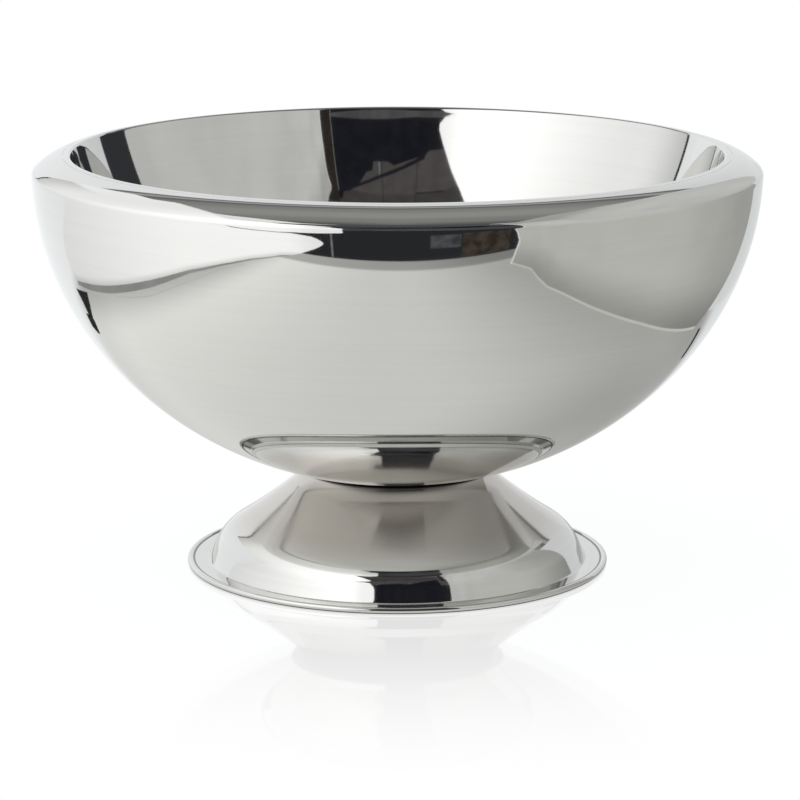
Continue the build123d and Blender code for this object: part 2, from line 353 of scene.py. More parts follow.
def rings_of(outline, angles, radius, height):
    """Vertices in metres and, for each outline point, the numbers of those round its ring.

    A point on the axis has one vertex, which its ring repeats.
    """
    vertices = []
    rings = []
    for row, point in enumerate(outline):
        first = len(vertices)
        if point[0] < ON_AXIS:
            vertices.append((0.0, 0.0, point[1] * MM))
            rings.append([first] * SEGMENTS)
        else:
            x = radius[row] * np.cos(angles) * MM
            y = radius[row] * np.sin(angles) * MM
            vertices += list(zip(x.tolist(), y.tolist(), (height[row] * MM).tolist()))
            rings.append(list(range(first, first + SEGMENTS)))
    return vertices, rings


def faces_between(rings):
    """Faces from each ring to the next, all round the closed outline."""
    faces = []
    for this, following in zip(rings, rings[1:] + rings[:1]):
        if this[0] == this[1] and following[0] == following[1]:
            continue
        for i in range(SEGMENTS):
            j = (i + 1) % SEGMENTS
            corners = [this[i], this[j], following[j], following[i]]
            faces.append(list(dict.fromkeys(corners)))
    return faces


def turned(name, outline, node, lobes, depth, keep):
    """Piece turned about Z from a closed outline, with a ripple. It stands for a CAD node."""
    angles = np.arange(SEGMENTS) * 2 * math.pi / SEGMENTS
    radius, height = rippled(outline, angles, lobes, depth, keep)
    vertices, rings = rings_of(outline, angles, radius, height)
    mesh = bpy.data.meshes.new(name)
    mesh.from_pydata(vertices, [], faces_between(rings))
    mesh.validate()
    fix = bmesh.new()
    fix.from_mesh(mesh)
    bmesh.ops.recalc_face_normals(fix, faces=fix.faces)
    fix.to_mesh(mesh)
    fix.free()
    mesh.shade_smooth()
    mesh.set_sharp_from_angle(angle=math.radians(SHARP_ANGLE))
    piece = bpy.data.objects.new(name, mesh)
    bpy.context.scene.collection.objects.link(piece)
    check_box(piece, node)
    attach(piece, "root")
    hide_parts(node)
    return piece


def check_box(piece, node):
    """Stops the script if a turned piece isn't the size of the CAD node that it stands for."""
    points = np.array([vertex.co for vertex in piece.data.vertices])
    for found, wanted in zip((points.min(axis=0), points.max(axis=0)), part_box(node)):
        if np.abs(found - np.array(wanted)).max() > BOX_TOLERANCE * MM:
            raise ValueError(f"{piece.name} isn't the size of {node}: {found} {wanted}")


# Materials

# Near black of painted shade: where the foot and the shell meet, and in the foot's groove
JOINT_SHADE = (0.03, 0.03, 0.03, 1)

# Spun lines: how the noise is stretched along a turn (per radian) and across it (per metre),
# and the scales of its fine and coarse parts and of the wiping marks
LINES_ALONG = 0.15
LINES_ACROSS = 60.0
FINE_LINES = 40.0
COARSE_LINES = 6.0
WIPING_SCALE = 14.0

# A steel's roughness: the least share of its value, and what wiping marks and fine lines add
LEAST_ROUGHNESS = 0.75
MARKS_ROUGHNESS = 0.5
LINES_ROUGHNESS = 0.5

# Satin lines run round the axis, so they smear reflections across themselves, up and down
SATIN_STRETCH = 0.9
QUARTER_TURN = 0.25
# Strength of the painted shade line in the foot's groove
GROOVE_SHADING_STRENGTH = 0.85


def new_material(name):
    material = bpy.data.materials.new(name)
    material.use_nodes = True
    material.node_tree.nodes.clear()
    return material


class Nodes:
    """Short ways to add and link shader nodes."""

    def __init__(self, tree):
        self.tree = tree

    def add(self, kind, **settings):
        node = self.tree.nodes.new(kind)
        for key, value in settings.items():
            setattr(node, key, value)
        return node

    def link(self, source, target):
        self.tree.links.new(source, target)

    def put(self, value, target):
        """Feeds a socket from another socket or with a constant."""
        if isinstance(value, bpy.types.NodeSocket):
            self.link(value, target)
        else:
            target.default_value = value

    def math(self, operation, first, second=0.0, third=0.0):
        node = self.add("ShaderNodeMath", operation=operation)
        for value, target in zip((first, second, third), node.inputs):
            self.put(value, target)
        return node.outputs[0]

    def product(self, first, *others):
        result = first
        for other in others:
            result = self.math("MULTIPLY", result, other)
        return result

    def length(self, x, y):
        """Distance of a point (x, y) from zero."""
        squares = self.math("ADD", self.math("MULTIPLY", x, x), self.math("MULTIPLY", y, y))
        return self.math("SQRT", squares)

    def gap(self, value, middle):
        """How far a value is from a middle."""
        return self.math("ABSOLUTE", self.math("SUBTRACT", value, middle))

    def smooth(self, value, low_edge, high_edge, low_value=0.0, high_value=1.0):
        """Smooth step from low_value to high_value as value goes from one edge to the other."""
        node = self.add("ShaderNodeMapRange", interpolation_type="SMOOTHSTEP", clamp=True)
        self.put(value, node.inputs["Value"])
        node.inputs["From Min"].default_value = low_edge
        node.inputs["From Max"].default_value = high_edge
        node.inputs["To Min"].default_value = low_value
        node.inputs["To Max"].default_value = high_value
        return node.outputs["Result"]

    def mix(self, factor, first, second):
        """Mixes two colours."""
        node = self.add("ShaderNodeMix", data_type="RGBA")
        self.put(factor, node.inputs["Factor"])
        self.put(first, node.inputs["A"])
        self.put(second, node.inputs["B"])
        return node.outputs["Result"]

    def blend(self, factor, first, second):
        """Mixes two shaders."""
        node = self.add("ShaderNodeMixShader")
        self.link(factor, node.inputs[0])
        self.link(first.outputs[0], node.inputs[1])
        self.link(second.outputs[0], node.inputs[2])
        return node

    def scaled(self, colour, level):
        """A constant colour times a level."""
        node = self.add("ShaderNodeVectorMath", operation="SCALE")
        node.inputs[0].default_value = colour
        self.put(level, node.inputs["Scale"])
        return node.outputs[0]

    def noise(self, vector, scale, detail=2.0, roughness=0.5):
        node = self.add("ShaderNodeTexNoise")
        self.put(vector, node.inputs["Vector"])
        node.inputs["Scale"].default_value = scale
        node.inputs["Detail"].default_value = detail
        node.inputs["Roughness"].default_value = roughness
        return node.outputs["Fac"]

    def place(self):
        """Point of the surface in its object's own frame, in metres."""
        return self.add("ShaderNodeTexCoord").outputs["Object"]

    def split(self, vector):
        node = self.add("ShaderNodeSeparateXYZ")
        self.link(vector, node.inputs[0])
        return node.outputs

    def join(self, x, y, z):
        node = self.add("ShaderNodeCombineXYZ")
        for value, target in zip((x, y, z), node.inputs):
            self.put(value, target)
        return node.outputs[0]

    def bump(self, height, distance, shader):
        node = self.add("ShaderNodeBump")
        node.inputs["Strength"].default_value = 1.0
        node.inputs["Distance"].default_value = distance
        self.link(height, node.inputs["Height"])
        self.link(node.outputs[0], shader.inputs["Normal"])

    def finish(self, shader):
        """Links a shader to the material's surface."""
        output = self.add("ShaderNodeOutputMaterial")
        self.link(shader.outputs[0], output.inputs["Surface"])


def steel(name, colour, roughness, line_depth, streak, satin_and_shade=None, joint_shading=None, groove_shading=None):
    """Spun stainless steel: lines that run round the axis, faint streaks and wiping marks.

    satin = (top, bottom, roughness added, colour) is a zone with a duller, rougher finish, whose
    colour is painted shade, darker and warmer. It is full above the one height and gone below the
    other. joint = (clean, dark) is painted shade where two pieces meet, which comes in from the
    one height to the other. groove = (inner, outer) is a painted shade line between two radii.
    Heights and radii are in metres.
    """
    material = new_material(name)
    n = Nodes(material.node_tree)
    where = n.place()
    x, y, z = n.split(where)
    radius = n.length(x, y)
    turn = n.math("ARCTAN2", y, x)
    lines = n.join(
        n.product(turn, LINES_ALONG),
        n.product(radius, LINES_ACROSS),
        n.product(z, LINES_ACROSS),
    )
    fine = n.noise(lines, FINE_LINES, detail=3.0, roughness=0.7)
    coarse = n.noise(lines, COARSE_LINES)
    wiping = n.noise(where, WIPING_SCALE, detail=4.0, roughness=0.6)

    shader = n.add("ShaderNodeBsdfPrincipled")
    shader.inputs["Metallic"].default_value = 1.0
    streaked = (*[c * (1 - streak) for c in colour], 1)
    tint = n.mix(n.smooth(coarse, 0.3, 0.7), streaked, (*colour, 1))
    marks = n.smooth(wiping, 0.35, 0.75)
    least = roughness * LEAST_ROUGHNESS
    rough = n.math("MULTIPLY_ADD", marks, roughness * MARKS_ROUGHNESS, least)
    rough = n.math("MULTIPLY_ADD", fine, roughness * LINES_ROUGHNESS, rough)
    # A zone with a rougher finish, stretched round the axis; its darker, warmer colour is painted
    # shade
    if satin_and_shade:
        top, bottom, extra, shaded_colour = satin_and_shade
        zone = n.smooth(z, bottom, top)
        rough = n.math("MULTIPLY_ADD", zone, extra, rough)
        tint = n.mix(zone, tint, (*shaded_colour, 1))
        around = n.add("ShaderNodeTangent", direction_type="RADIAL", axis="Z")
        n.link(around.outputs[0], shader.inputs["Tangent"])
        n.link(n.product(zone, SATIN_STRETCH), shader.inputs["Anisotropic"])
        shader.inputs["Anisotropic Rotation"].default_value = QUARTER_TURN
    # Painted shade where two pieces meet: near black from the one height to the other
    if joint_shading:
        unshaded, dark = joint_shading
        tint = n.mix(n.smooth(z, unshaded, dark), tint, JOINT_SHADE)
    # Painted shade line in a groove, between two radii
    if groove_shading:
        inner, outer = groove_shading
        width = outer - inner
        offset = n.gap(radius, (inner + outer) / 2)
        line = n.smooth(offset, width / 4, width / 2, GROOVE_SHADING_STRENGTH, 0.0)
        tint = n.mix(line, tint, JOINT_SHADE)
    n.link(tint, shader.inputs["Base Color"])
    n.link(rough, shader.inputs["Roughness"])
    n.bump(fine, line_depth, shader)
    n.finish(shader)
    return material


def soft_solid(name, colour, roughness, grain_scale, grain_depth):
    """Rubber or foam: an uneven colour and a fine grain."""
    material = new_material(name)
    n = Nodes(material.node_tree)
    grain = n.noise(n.place(), grain_scale, detail=4.0)
    shader = n.add("ShaderNodeBsdfPrincipled")
    dark = (*[c * 0.7 for c in colour], 1)
    n.link(n.mix(n.smooth(grain, 0.35, 0.65), dark, (*colour, 1)), shader.inputs["Base Color"])
    n.link(n.smooth(grain, 0.2, 0.8, roughness, roughness * 0.8), shader.inputs["Roughness"])
    n.bump(grain, grain_depth, shader)
    n.finish(shader)
    return material


def dress(piece, material):
    piece.data.materials.clear()
    piece.data.materials.append(material)


# Studio: a pale table, a large light on the left, a grey board on the right, a pale backdrop
# and a dark room in front. It turns with the camera, as if the bowl stood on a turntable. The
# camera itself sees only white around the bowl: the rest shows in the polished steel alone.
# Every sheet here glows: apart from the large light, the light and shade on the table, the
# board, the papers and the things in the room are painted into their colours.
# Most outlines below were traced: a separate program followed rays from points picked on the
# photograph's reflections, off the bowl, to each sheet. The results, in metres, were rounded,
# and some were then moved.

CAMERA_DISTANCE = 1.9907
CAMERA_HEIGHT = 0.5225
CAMERA_PITCH = 12.231
CAMERA_LENS = 164.9
CAMERA_SHIFT = 0.0034
SENSOR_WIDTH = 36.0


def add_camera():
    data = bpy.data.cameras.new("camera")
    data.lens = CAMERA_LENS
    data.sensor_width = SENSOR_WIDTH
    data.shift_x = CAMERA_SHIFT
    camera = bpy.data.objects.new("camera", data)
    camera.location = (0, -CAMERA_DISTANCE, CAMERA_HEIGHT)
    camera.rotation_euler = (math.radians(90 - CAMERA_PITCH), 0, 0)
    bpy.context.scene.collection.objects.link(camera)
    bpy.context.scene.camera = camera
    return camera


def add_rig(camera):
    """An empty that turns about Z with the camera and carries the studio."""
    rig = bpy.data.objects.new("studio_rig", None)
    bpy.context.scene.collection.objects.link(rig)
    track = rig.constraints.new("LOCKED_TRACK")
    track.target = camera
    track.track_axis = "TRACK_NEGATIVE_Y"
    track.lock_axis = "LOCK_Z"
    return rig


# Building blocks of the studio


def stage_mesh(name, mesh, material, rig, seen_by_camera=False):
    mesh.materials.append(material)
    thing = bpy.data.objects.new(name, mesh)
    bpy.context.scene.collection.objects.link(thing)
    thing.parent = rig
    thing.visible_camera = seen_by_camera


def stage_faces(name, vertices, faces, material, rig, seen_by_camera=False):
    mesh = bpy.data.meshes.new(name)
    mesh.from_pydata(vertices, [], faces)
    stage_mesh(name, mesh, material, rig, seen_by_camera)


def sheet(name, corners, material, rig, seen_by_camera=False):
    """Flat sheet with the given corners."""
    stage_faces(name, corners, [tuple(range(len(corners)))], material, rig, seen_by_camera)


def standing(name, y, outline, material, rig):
    """Flat sheet that faces the bowl at a distance y; its outline is a list of (x, z)."""
    sheet(name, [(x, y, z) for x, z in outline], material, rig)


def ribbon(name, plan, material, rig):
    """Strip that lies on the table; each plan point is (left edge, y, right edge)."""
    vertices = []
    for left, y, right in plan:
        vertices += [(left, y, STRIP_Z), (right, y, STRIP_Z)]
    faces = [(2 * i, 2 * i + 1, 2 * i + 3, 2 * i + 2) for i in range(len(plan) - 1)]
    stage_faces(name, vertices, faces, material, rig)


def curtain(name, plan, material, rig, sway=None, rows=40):
    """Upright panel over a plan line; each plan point is (x, y, low edge, top edge, share of sway).

    sway is a list of (height, sideways) pairs for a wavy upright edge. The rows lie closer
    together near the low edge.
    """
    vertices = []
    for x, y, low_edge, top_edge, share in plan:
        for row in range(rows + 1):
            z = low_edge + (top_edge - low_edge) * (row / rows) ** 2
            shift = np.interp(z, *zip(*sway)) * share if sway else 0.0
            vertices.append((x + shift, y, z))
    faces = []
    for i in range(len(plan) - 1):
        for j in range(rows):
            a = i * (rows + 1) + j
            faces.append((a, a + 1, a + rows + 2, a + rows + 1))
    stage_faces(name, vertices, faces, material, rig)


def glow(name):
    """Emission material, its nodes and emission node, and the place in the studio's own frame."""
    material = new_material(name)
    material.cycles.emission_sampling = "NONE"
    n = Nodes(material.node_tree)
    emission = n.add("ShaderNodeEmission")
    return material, n, emission, n.split(n.place())


def even_glow(name, colour):
    material, n, emission, _ = glow(name)
    emission.inputs["Color"].default_value = colour
    n.finish(emission)
    return material


def worn_glow(name, colour, scale, dark_share):
    """Uneven colour, which goes down to a share of itself."""
    material, n, emission, _ = glow(name)
    worn = n.noise(n.place(), scale, detail=3.0)
    shade = (*[c * dark_share for c in colour], 1)
    n.link(n.mix(n.smooth(worn, 0.35, 0.65), shade, (*colour, 1)), emission.inputs["Color"])
    n.finish(emission)
    return material


def grey(level, tint=(1.0, 1.0, 1.0)):
    return (*[level * t for t in tint], 1)


def patch(n, x, y, centre, size, soft):
    """1 inside a soft-edged rectangle, else 0."""
    sides = []
    for value, middle, half in zip((x, y), centre, size):
        sides.append(n.smooth(n.gap(value, middle), half - soft, half + soft, 1.0, 0.0))
    return n.product(*sides)


# Table and floor

TABLE_TINT = (1.0, 1.0, 0.975)
BACK_TINT = (0.965, 0.985, 1.0)
ROOM_TINT = (0.93, 0.96, 1.08)
# Near black of the dark cards, of the dark floor past the table's front edge and of the painted
# contact shadow round the foot
DARK_CARD_AND_SHADOW = grey(0.028, ROOM_TINT)
TABLE_FRONT = -0.63
TABLE_BACK = 0.18
# Centre of the painted shadow of the bowl on the table
SHADE_CENTRE = (0.10, 0.02)
FLOOR_DROP = 0.00005
FLOOR_HALF = 8.0
FLOOR_MIRROR = 0.36
FLOOR_FILL = 0.36
FLOOR_ROUGHNESS = 0.005
FOOT_EDGE = FOOT_RADIUS * MM
STRIP_Z = 0.0003


def table_paint(n, x, y, distance):
    """What the steel sees on the table: brighter on the left, a darker strip at the front."""
    # Painted light and shade: brighter on the left, near the large light, with a painted shadow of
    # the bowl round SHADE_CENTRE; also darker towards the back and in a strip at the front
    shade = n.length(n.math("SUBTRACT", x, SHADE_CENTRE[0]), n.math("SUBTRACT", y, SHADE_CENTRE[1]))
    level = n.product(
        n.smooth(x, -0.40, 0.0, 1.02, 0.77),
        n.smooth(x, 0.0, 0.32, 1.0, 0.64),
        n.smooth(x, -0.43, -0.30, 0.62, 1.0),
        n.smooth(shade, 0.05, 0.20, 0.72, 1.0),
        n.smooth(y, 0.0, 0.16, 1.0, 0.86),
        n.smooth(y, TABLE_FRONT + 0.06, TABLE_FRONT + 0.08, 0.55, 1.0),
    )
    table = n.scaled(TABLE_TINT, level)
    table = n.mix(n.smooth(y, TABLE_FRONT - 0.005, TABLE_FRONT), DARK_CARD_AND_SHADOW, table)
    beyond = n.scaled(BACK_TINT, n.smooth(x, -0.5, 0.5, 1.05, 0.84))
    table = n.mix(n.smooth(y, TABLE_BACK, TABLE_BACK + 0.12), table, beyond)
    right_card = patch(n, x, y, centre=(0.288, 0.203), size=(0.030, 0.010), soft=0.003)
    table = n.mix(right_card, table, DARK_CARD_AND_SHADOW)
    # Painted contact shadow: near black in a thin ring round the foot's edge
    contact_shadow = n.smooth(distance, FOOT_EDGE - 0.001, FOOT_EDGE + 0.001, 1.0, 0.0)
    return n.mix(contact_shadow, table, DARK_CARD_AND_SHADOW)


def add_floor(rig):
    """Pale floor: white with a faint mirror image of the bowl for the camera, clear from below."""
    material, n, emission, (x, y, _) = glow("floor")
    distance = n.length(x, y)
    n.link(table_paint(n, x, y, distance), emission.inputs["Color"])
    white = n.add("ShaderNodeEmission")
    share = n.smooth(distance, 0.08, 0.42, FLOOR_MIRROR, 0.0)
    # Painted contact shadow: the white dims to 0.35 of itself just inside the foot's edge
    contact_shadow = n.smooth(distance, FOOT_EDGE - 0.004, FOOT_EDGE + 0.0005, 0.35, 1.0)
    fill = n.math("MULTIPLY_ADD", share, FLOOR_FILL, 1.0)
    n.link(n.product(contact_shadow, fill), white.inputs["Strength"])
    mirror = n.add("ShaderNodeBsdfGlossy")
    mirror.inputs["Roughness"].default_value = FLOOR_ROUGHNESS
    clear = n.add("ShaderNodeBsdfTransparent")
    from_below = n.add("ShaderNodeNewGeometry").outputs["Backfacing"]
    for_camera = n.add("ShaderNodeLightPath").outputs["Is Camera Ray"]
    top = n.blend(share, white, mirror)
    seen = n.blend(from_below, top, clear)
    n.finish(n.blend(for_camera, emission, seen))
    half, z = FLOOR_HALF, -FLOOR_DROP
    corners = [(-half, -half, z), (half, -half, z), (half, half, z), (-half, half, z)]
    sheet("floor", corners, material, rig, seen_by_camera=True)


def add_strips(rig):
    """Things that lie on the table along the left light: grey skirting, a crease, a dark card."""
    material, n, emission, _ = glow("skirting")
    worn = n.noise(n.place(), 9.0)
    n.link(n.smooth(worn, 0.3, 0.7, 0.29, 0.36), emission.inputs["Strength"])
    n.finish(emission)
    skirting = [
        (-0.457, 0.224, -0.440),
        (-0.456, 0.150, -0.432),
        (-0.452, 0.020, -0.422),
        (-0.452, -0.060, -0.421),
        (-0.452, -0.130, -0.421),
        (-0.455, -0.270, -0.436),
        (-0.437, -0.376, -0.423),
        (-0.405, -0.480, -0.394),
        (-0.330, -0.600, -0.322),
    ]
    ribbon("skirting", skirting, material, rig)
    crease = [
        (-0.413, 0.010, -0.409),
        (-0.394, -0.106, -0.390),
        (-0.402, -0.211, -0.398),
        (-0.409, -0.356, -0.405),
        (-0.389, -0.440, -0.385),
    ]
    ribbon("crease", crease, even_glow("crease", grey(0.60)), rig)
    card = [
        (-0.421, 0.251),
        (-0.421, 0.163),
        (-0.381, 0.163),
        (-0.344, 0.177),
        (-0.336, 0.172),
        (-0.308, 0.176),
        (-0.307, 0.191),
        (-0.319, 0.219),
        (-0.351, 0.227),
        (-0.352, 0.205),
        (-0.384, 0.219),
    ]
    corners = [(x, y, STRIP_Z) for x, y in card]
    sheet("dark_card", corners, even_glow("dark_card", DARK_CARD_AND_SHADOW), rig)


# Far surroundings

DOME_RADIUS = 9.0
DOME_SEGMENTS = 64
DOME_RINGS = 32
WARM_TINT = (1.0, 0.99, 0.97)
DEGREES = 180 / math.pi
SIDE_SAG = 22.0

# Bands of the ceiling: lift in degrees where each begins and is full, and its colour
CEILING = [
    (40.5, 42.5, grey(0.15)),
    (43.5, 45.5, grey(0.42)),
    (48.0, 50.0, grey(0.16)),
    (51.0, 56.0, grey(0.27, WARM_TINT)),
    (56.0, 72.0, grey(0.34, WARM_TINT)),
    (76.0, 86.0, grey(0.27, WARM_TINT)),
]


def add_dome(rig):
    """Far surroundings: a pale backdrop behind, a banded ceiling, and the dark room in front.

    The lift is the angle from the horizon behind, over the top, to the horizon in front. The
    bands sag towards the sides.
    """
    material, n, emission, (x, y, z) = glow("surroundings")
    sag = n.product(n.math("ABSOLUTE", x), SIDE_SAG / DOME_RADIUS)
    lift = n.math("ADD", n.product(n.math("ARCTAN2", z, y), DEGREES), sag)
    heading = n.product(n.math("ARCTAN2", x, y), DEGREES)
    rise = n.math("DIVIDE", z, DOME_RADIUS)
    colour = n.scaled(BACK_TINT, n.smooth(heading, -50, 50, 1.08, 0.76))
    for start, full, band in CEILING:
        colour = n.mix(n.smooth(lift, start, full), colour, band)
    direction = n.join(*[n.math("DIVIDE", value, DOME_RADIUS) for value in (x, y, z)])
    clutter = n.noise(direction, 2.5, detail=3.0)
    dim = n.smooth(clutter, 0.35, 0.70, 0.014, 0.040)
    dim = n.math("ADD", dim, n.smooth(lift, 136.0, 146.0, 0.075, 0.0))
    dim = n.math("ADD", dim, n.smooth(rise, 0.395, 0.430, 0.055, 0.0))
    colour = n.mix(n.smooth(lift, 88.0, 100.0), colour, n.scaled(ROOM_TINT, dim))
    percent = n.product(rise, 100.0)
    right_gap = patch(n, heading, percent, centre=(54.0, 24.0), size=(10.0, 13.0), soft=0.5)
    colour = n.mix(right_gap, colour, grey(0.04, ROOM_TINT))
    n.link(colour, emission.inputs["Color"])
    n.finish(emission)
    ball = bmesh.new()
    bmesh.ops.create_uvsphere(
        ball,
        u_segments=DOME_SEGMENTS,
        v_segments=DOME_RINGS,
        radius=DOME_RADIUS,
    )
    mesh = bpy.data.meshes.new("surroundings")
    ball.to_mesh(mesh)
    ball.free()
    stage_mesh("surroundings", mesh, material, rig)


# Lights and paper

ROOF_Z = 0.938
LEFT_PAPER_X = -0.62
RIGHT_PAPER_X = 0.36


def light_paint():
    """Uneven brightness of the large light: dimmer at the back, at the table and past its slit."""
    material, n, emission, (x, y, z) = glow("light_panel")
    far_end = n.math("MAXIMUM", n.smooth(y, 0.25, 0.60, 1.0, 0.66), n.smooth(z, 0.45, 0.60))
    slit = n.math("MAXIMUM", n.smooth(y, 0.572, 0.574, 1.0, 0.04), n.smooth(z, 0.40, 0.44))
    level = n.product(
        n.smooth(y, -0.35, 0.25, 1.26, 0.93),
        n.smooth(z, 0.15, 0.40, 1.0, 1.18),
        far_end,
        n.smooth(x, -0.34, -0.22, 1.0, 0.86),
        n.smooth(z, 0.0, 0.020, 0.75, 1.0),
        slit,
    )
    n.link(level, emission.inputs["Strength"])
    n.finish(emission)
    return material


def add_lights(rig):
    """Large soft light on the left, which curves in towards the camera, in sheets with gaps."""
    light = light_paint()
    side_low = [
        (-0.455, 0.224, 0.0, 0.040, 0),
        (-0.455, 0.196, 0.0, 0.072, 0),
        (-0.455, 0.162, 0.0, 0.101, 0),
        (-0.454, 0.126, 0.0, 0.130, 0),
        (-0.452, 0.020, 0.0, 0.260, 0),
        (-0.452, -0.100, 0.0, 0.280, 0),
    ]
    side_high = [
        (-0.450, 0.600, 0.28, 0.820, 0),
        (-0.450, 0.450, 0.28, 0.850, 0),
        (-0.450, 0.435, 0.28, 0.950, 0),
        (-0.452, -0.100, 0.26, 0.950, 0),
    ]
    bend = [
        (-0.452, -0.100, 0.0, 0.95, 0),
        (-0.455, -0.280, 0.0, 0.97, 0),
        (-0.435, -0.380, 0.0, 0.97, 0),
    ]
    front_low = [
        (-0.435, -0.380, 0.0, 0.160, 0),
        (-0.418, -0.443, 0.0, 0.124, 0),
        (-0.405, -0.485, 0.0, 0.112, 0),
        (-0.352, -0.575, 0.0, 0.092, 0),
        (-0.318, -0.600, 0.0, 0.090, 0),
        (-0.290, -0.602, 0.012, 0.089, 0),
        (-0.245, -0.602, 0.036, 0.087, 0),
        (-0.225, -0.602, 0.048, 0.080, 0),
        (-0.213, -0.602, 0.058, 0.073, 0),
        (-0.208, -0.602, 0.064, 0.067, 0),
    ]
    front_middle = [
        (-0.435, -0.380, 0.164, 0.500, 0),
        (-0.418, -0.443, 0.128, 0.500, 0),
        (-0.405, -0.485, 0.116, 0.510, 0),
        (-0.352, -0.575, 0.096, 0.545, 0),
        (-0.318, -0.602, 0.096, 0.558, 0),
        (-0.245, -0.606, 0.101, 0.545, 0),
        (-0.205, -0.608, 0.106, 0.520, 0),
        (-0.150, -0.610, 0.114, 0.360, 0),
    ]
    front_high = [
        (-0.435, -0.380, 0.480, 0.970, 0),
        (-0.440, -0.470, 0.480, 0.965, 0),
        (-0.410, -0.530, 0.500, 0.940, 0),
        (-0.360, -0.575, 0.535, 0.870, 0),
        (-0.300, -0.595, 0.565, 0.790, 0),
        (-0.270, -0.600, 0.575, 0.740, 0),
        (-0.230, -0.600, 0.582, 0.670, 0),
        (-0.205, -0.600, 0.600, 0.620, 0),
    ]
    curtain("light_side_low", side_low, light, rig)
    curtain("light_side_high", side_high, light, rig)
    curtain("light_bend", bend, light, rig)
    curtain("light_front_low", front_low, light, rig)
    curtain("light_front_middle", front_middle, light, rig)
    curtain("light_front_high", front_high, light, rig)
    roof = [
        (-0.46, 0.42),
        (-0.44, 0.40),
        (-0.434, 0.075),
        (-0.402, 0.01),
        (-0.295, -0.141),
        (-0.16, -0.33),
        (-0.46, -0.33),
    ]
    corners = [(x, y, ROOF_Z) for x, y in roof]
    sheet("light_roof", corners, even_glow("light_roof", grey(1.0)), rig)


def add_papers(rig):
    """White paper on both sides, which closes the view past the ends of light and board."""
    left = [(LEFT_PAPER_X, -0.15, 0.0, 0.50, 0), (LEFT_PAPER_X, 0.90, 0.0, 0.50, 0)]
    right = [(RIGHT_PAPER_X, 0.13, 0.0, 0.265, 0), (RIGHT_PAPER_X, 0.80, 0.0, 0.265, 0)]
    curtain("left_paper", left, even_glow("left_paper", grey(1.04, BACK_TINT)), rig)
    curtain("right_paper", right, even_glow("right_paper", grey(0.79, BACK_TINT)), rig)


# Grey board on the right

BOARD_TINT = (1.0, 1.005, 0.955)
BOARD_TOP_TINT = (1.0, 0.995, 0.985)
BOARD_ROWS = 80


def board_paint():
    """Grey, paler at its front edge and its foot, dimmer at the back and high up."""
    material, n, emission, (_, y, z) = glow("reflector")
    upper = n.smooth(z, 0.15, 0.30)
    back = n.math("MAXIMUM", n.smooth(y, -0.12, 0.08, 1.0, 0.72), upper)
    mottle = n.noise(n.place(), 5.0, detail=3.0)
    level = n.product(
        n.smooth(z, 0.0, 0.10, 0.38, 0.585),
        back,
        n.smooth(z, 0.15, 0.35, 1.0, 1.12),
        n.smooth(z, 0.62, 0.76, 1.0, 0.72),
        n.smooth(mottle, 0.3, 0.7, 0.93, 1.06),
    )
    level = n.math("MAXIMUM", level, n.smooth(z, 0.005, 0.007, 0.66, 0.0))
    level = n.math("MAXIMUM", level, n.smooth(y, -0.5155, -0.5145, 0.92, 0.0))
    colour = n.mix(upper, n.scaled(BOARD_TINT, level), n.scaled(BOARD_TOP_TINT, level))
    n.link(colour, emission.inputs["Color"])
    n.finish(emission)
    return material


def add_board(rig):
    """Upright board whose near edge is wavy. Its top slopes down towards the back."""
    plan = [
        (0.302, -0.520, 0.0, 1.30, 1.0),
        (0.310, -0.495, 0.0, 1.28, 0.9),
        (0.323, -0.450, 0.0, 1.24, 0.6),
        (0.303, -0.394, 0.0, 1.18, 0.5),
        (0.291, -0.345, 0.0, 1.14, 0.5),
        (0.296, -0.302, 0.0, 1.10, 0.4),
        (0.299, -0.220, 0.0, 1.02, 0.3),
        (0.312, -0.076, 0.0, 0.90, 0.1),
        (0.314, -0.009, 0.0, 0.84, 0.0),
        (0.321, 0.130, 0.0, 0.73, 0.0),
        (0.321, 0.148, 0.0, 0.72, 0.0),
        (0.322, 0.160, 0.27, 0.71, 0.0),
        (0.330, 0.200, 0.28, 0.67, 0.0),
        (0.340, 0.300, 0.29, 0.60, 0.0),
        (0.345, 0.350, 0.30, 0.56, 0.0),
    ]
    sway = [
        (0.0, 0.0),
        (0.04, 0.008),
        (0.08, 0.017),
        (0.116, 0.004),
        (0.137, -0.005),
        (0.2, 0.018),
        (0.5, 0.045),
        (0.67, 0.056),
        (0.74, 0.062),
        (0.79, 0.059),
        (0.82, 0.049),
        (0.865, 0.081),
        (0.92, 0.120),
    ]
    curtain("reflector", plan, board_paint(), rig, sway, rows=BOARD_ROWS)


# Things in front, between the table's edge and the far wall of the dark room

CLUTTER_Y = TABLE_FRONT - 0.01
ROOM_Y = -1.70
CUPBOARD_JOINTS = (0.215, -0.27)
CUPBOARD_COLOUR = (0.088, 0.080, 0.081)


def add_clutter(rig):
    """Things beyond the table's front edge: a light stand and two crates."""
    things = [
        ("stand_pole", (-0.199, -0.193), (0.0, 0.110), (0.30, 0.31, 0.32)),
        ("stand_bar", (-0.300, -0.190), (0.101, 0.106), (0.34, 0.34, 0.33)),
        ("grey_crate", (0.096, 0.190), (0.045, 0.096), (0.10, 0.105, 0.115)),
        ("brown_crate", (0.196, 0.370), (0.0, 0.104), (0.075, 0.060, 0.048)),
    ]
    for name, (left, right), (bottom, top), colour in things:
        outline = [(left, bottom), (right, bottom), (right, top), (left, top)]
        standing(name, CLUTTER_Y, outline, worn_glow(name, colour, 25.0, 0.45), rig)


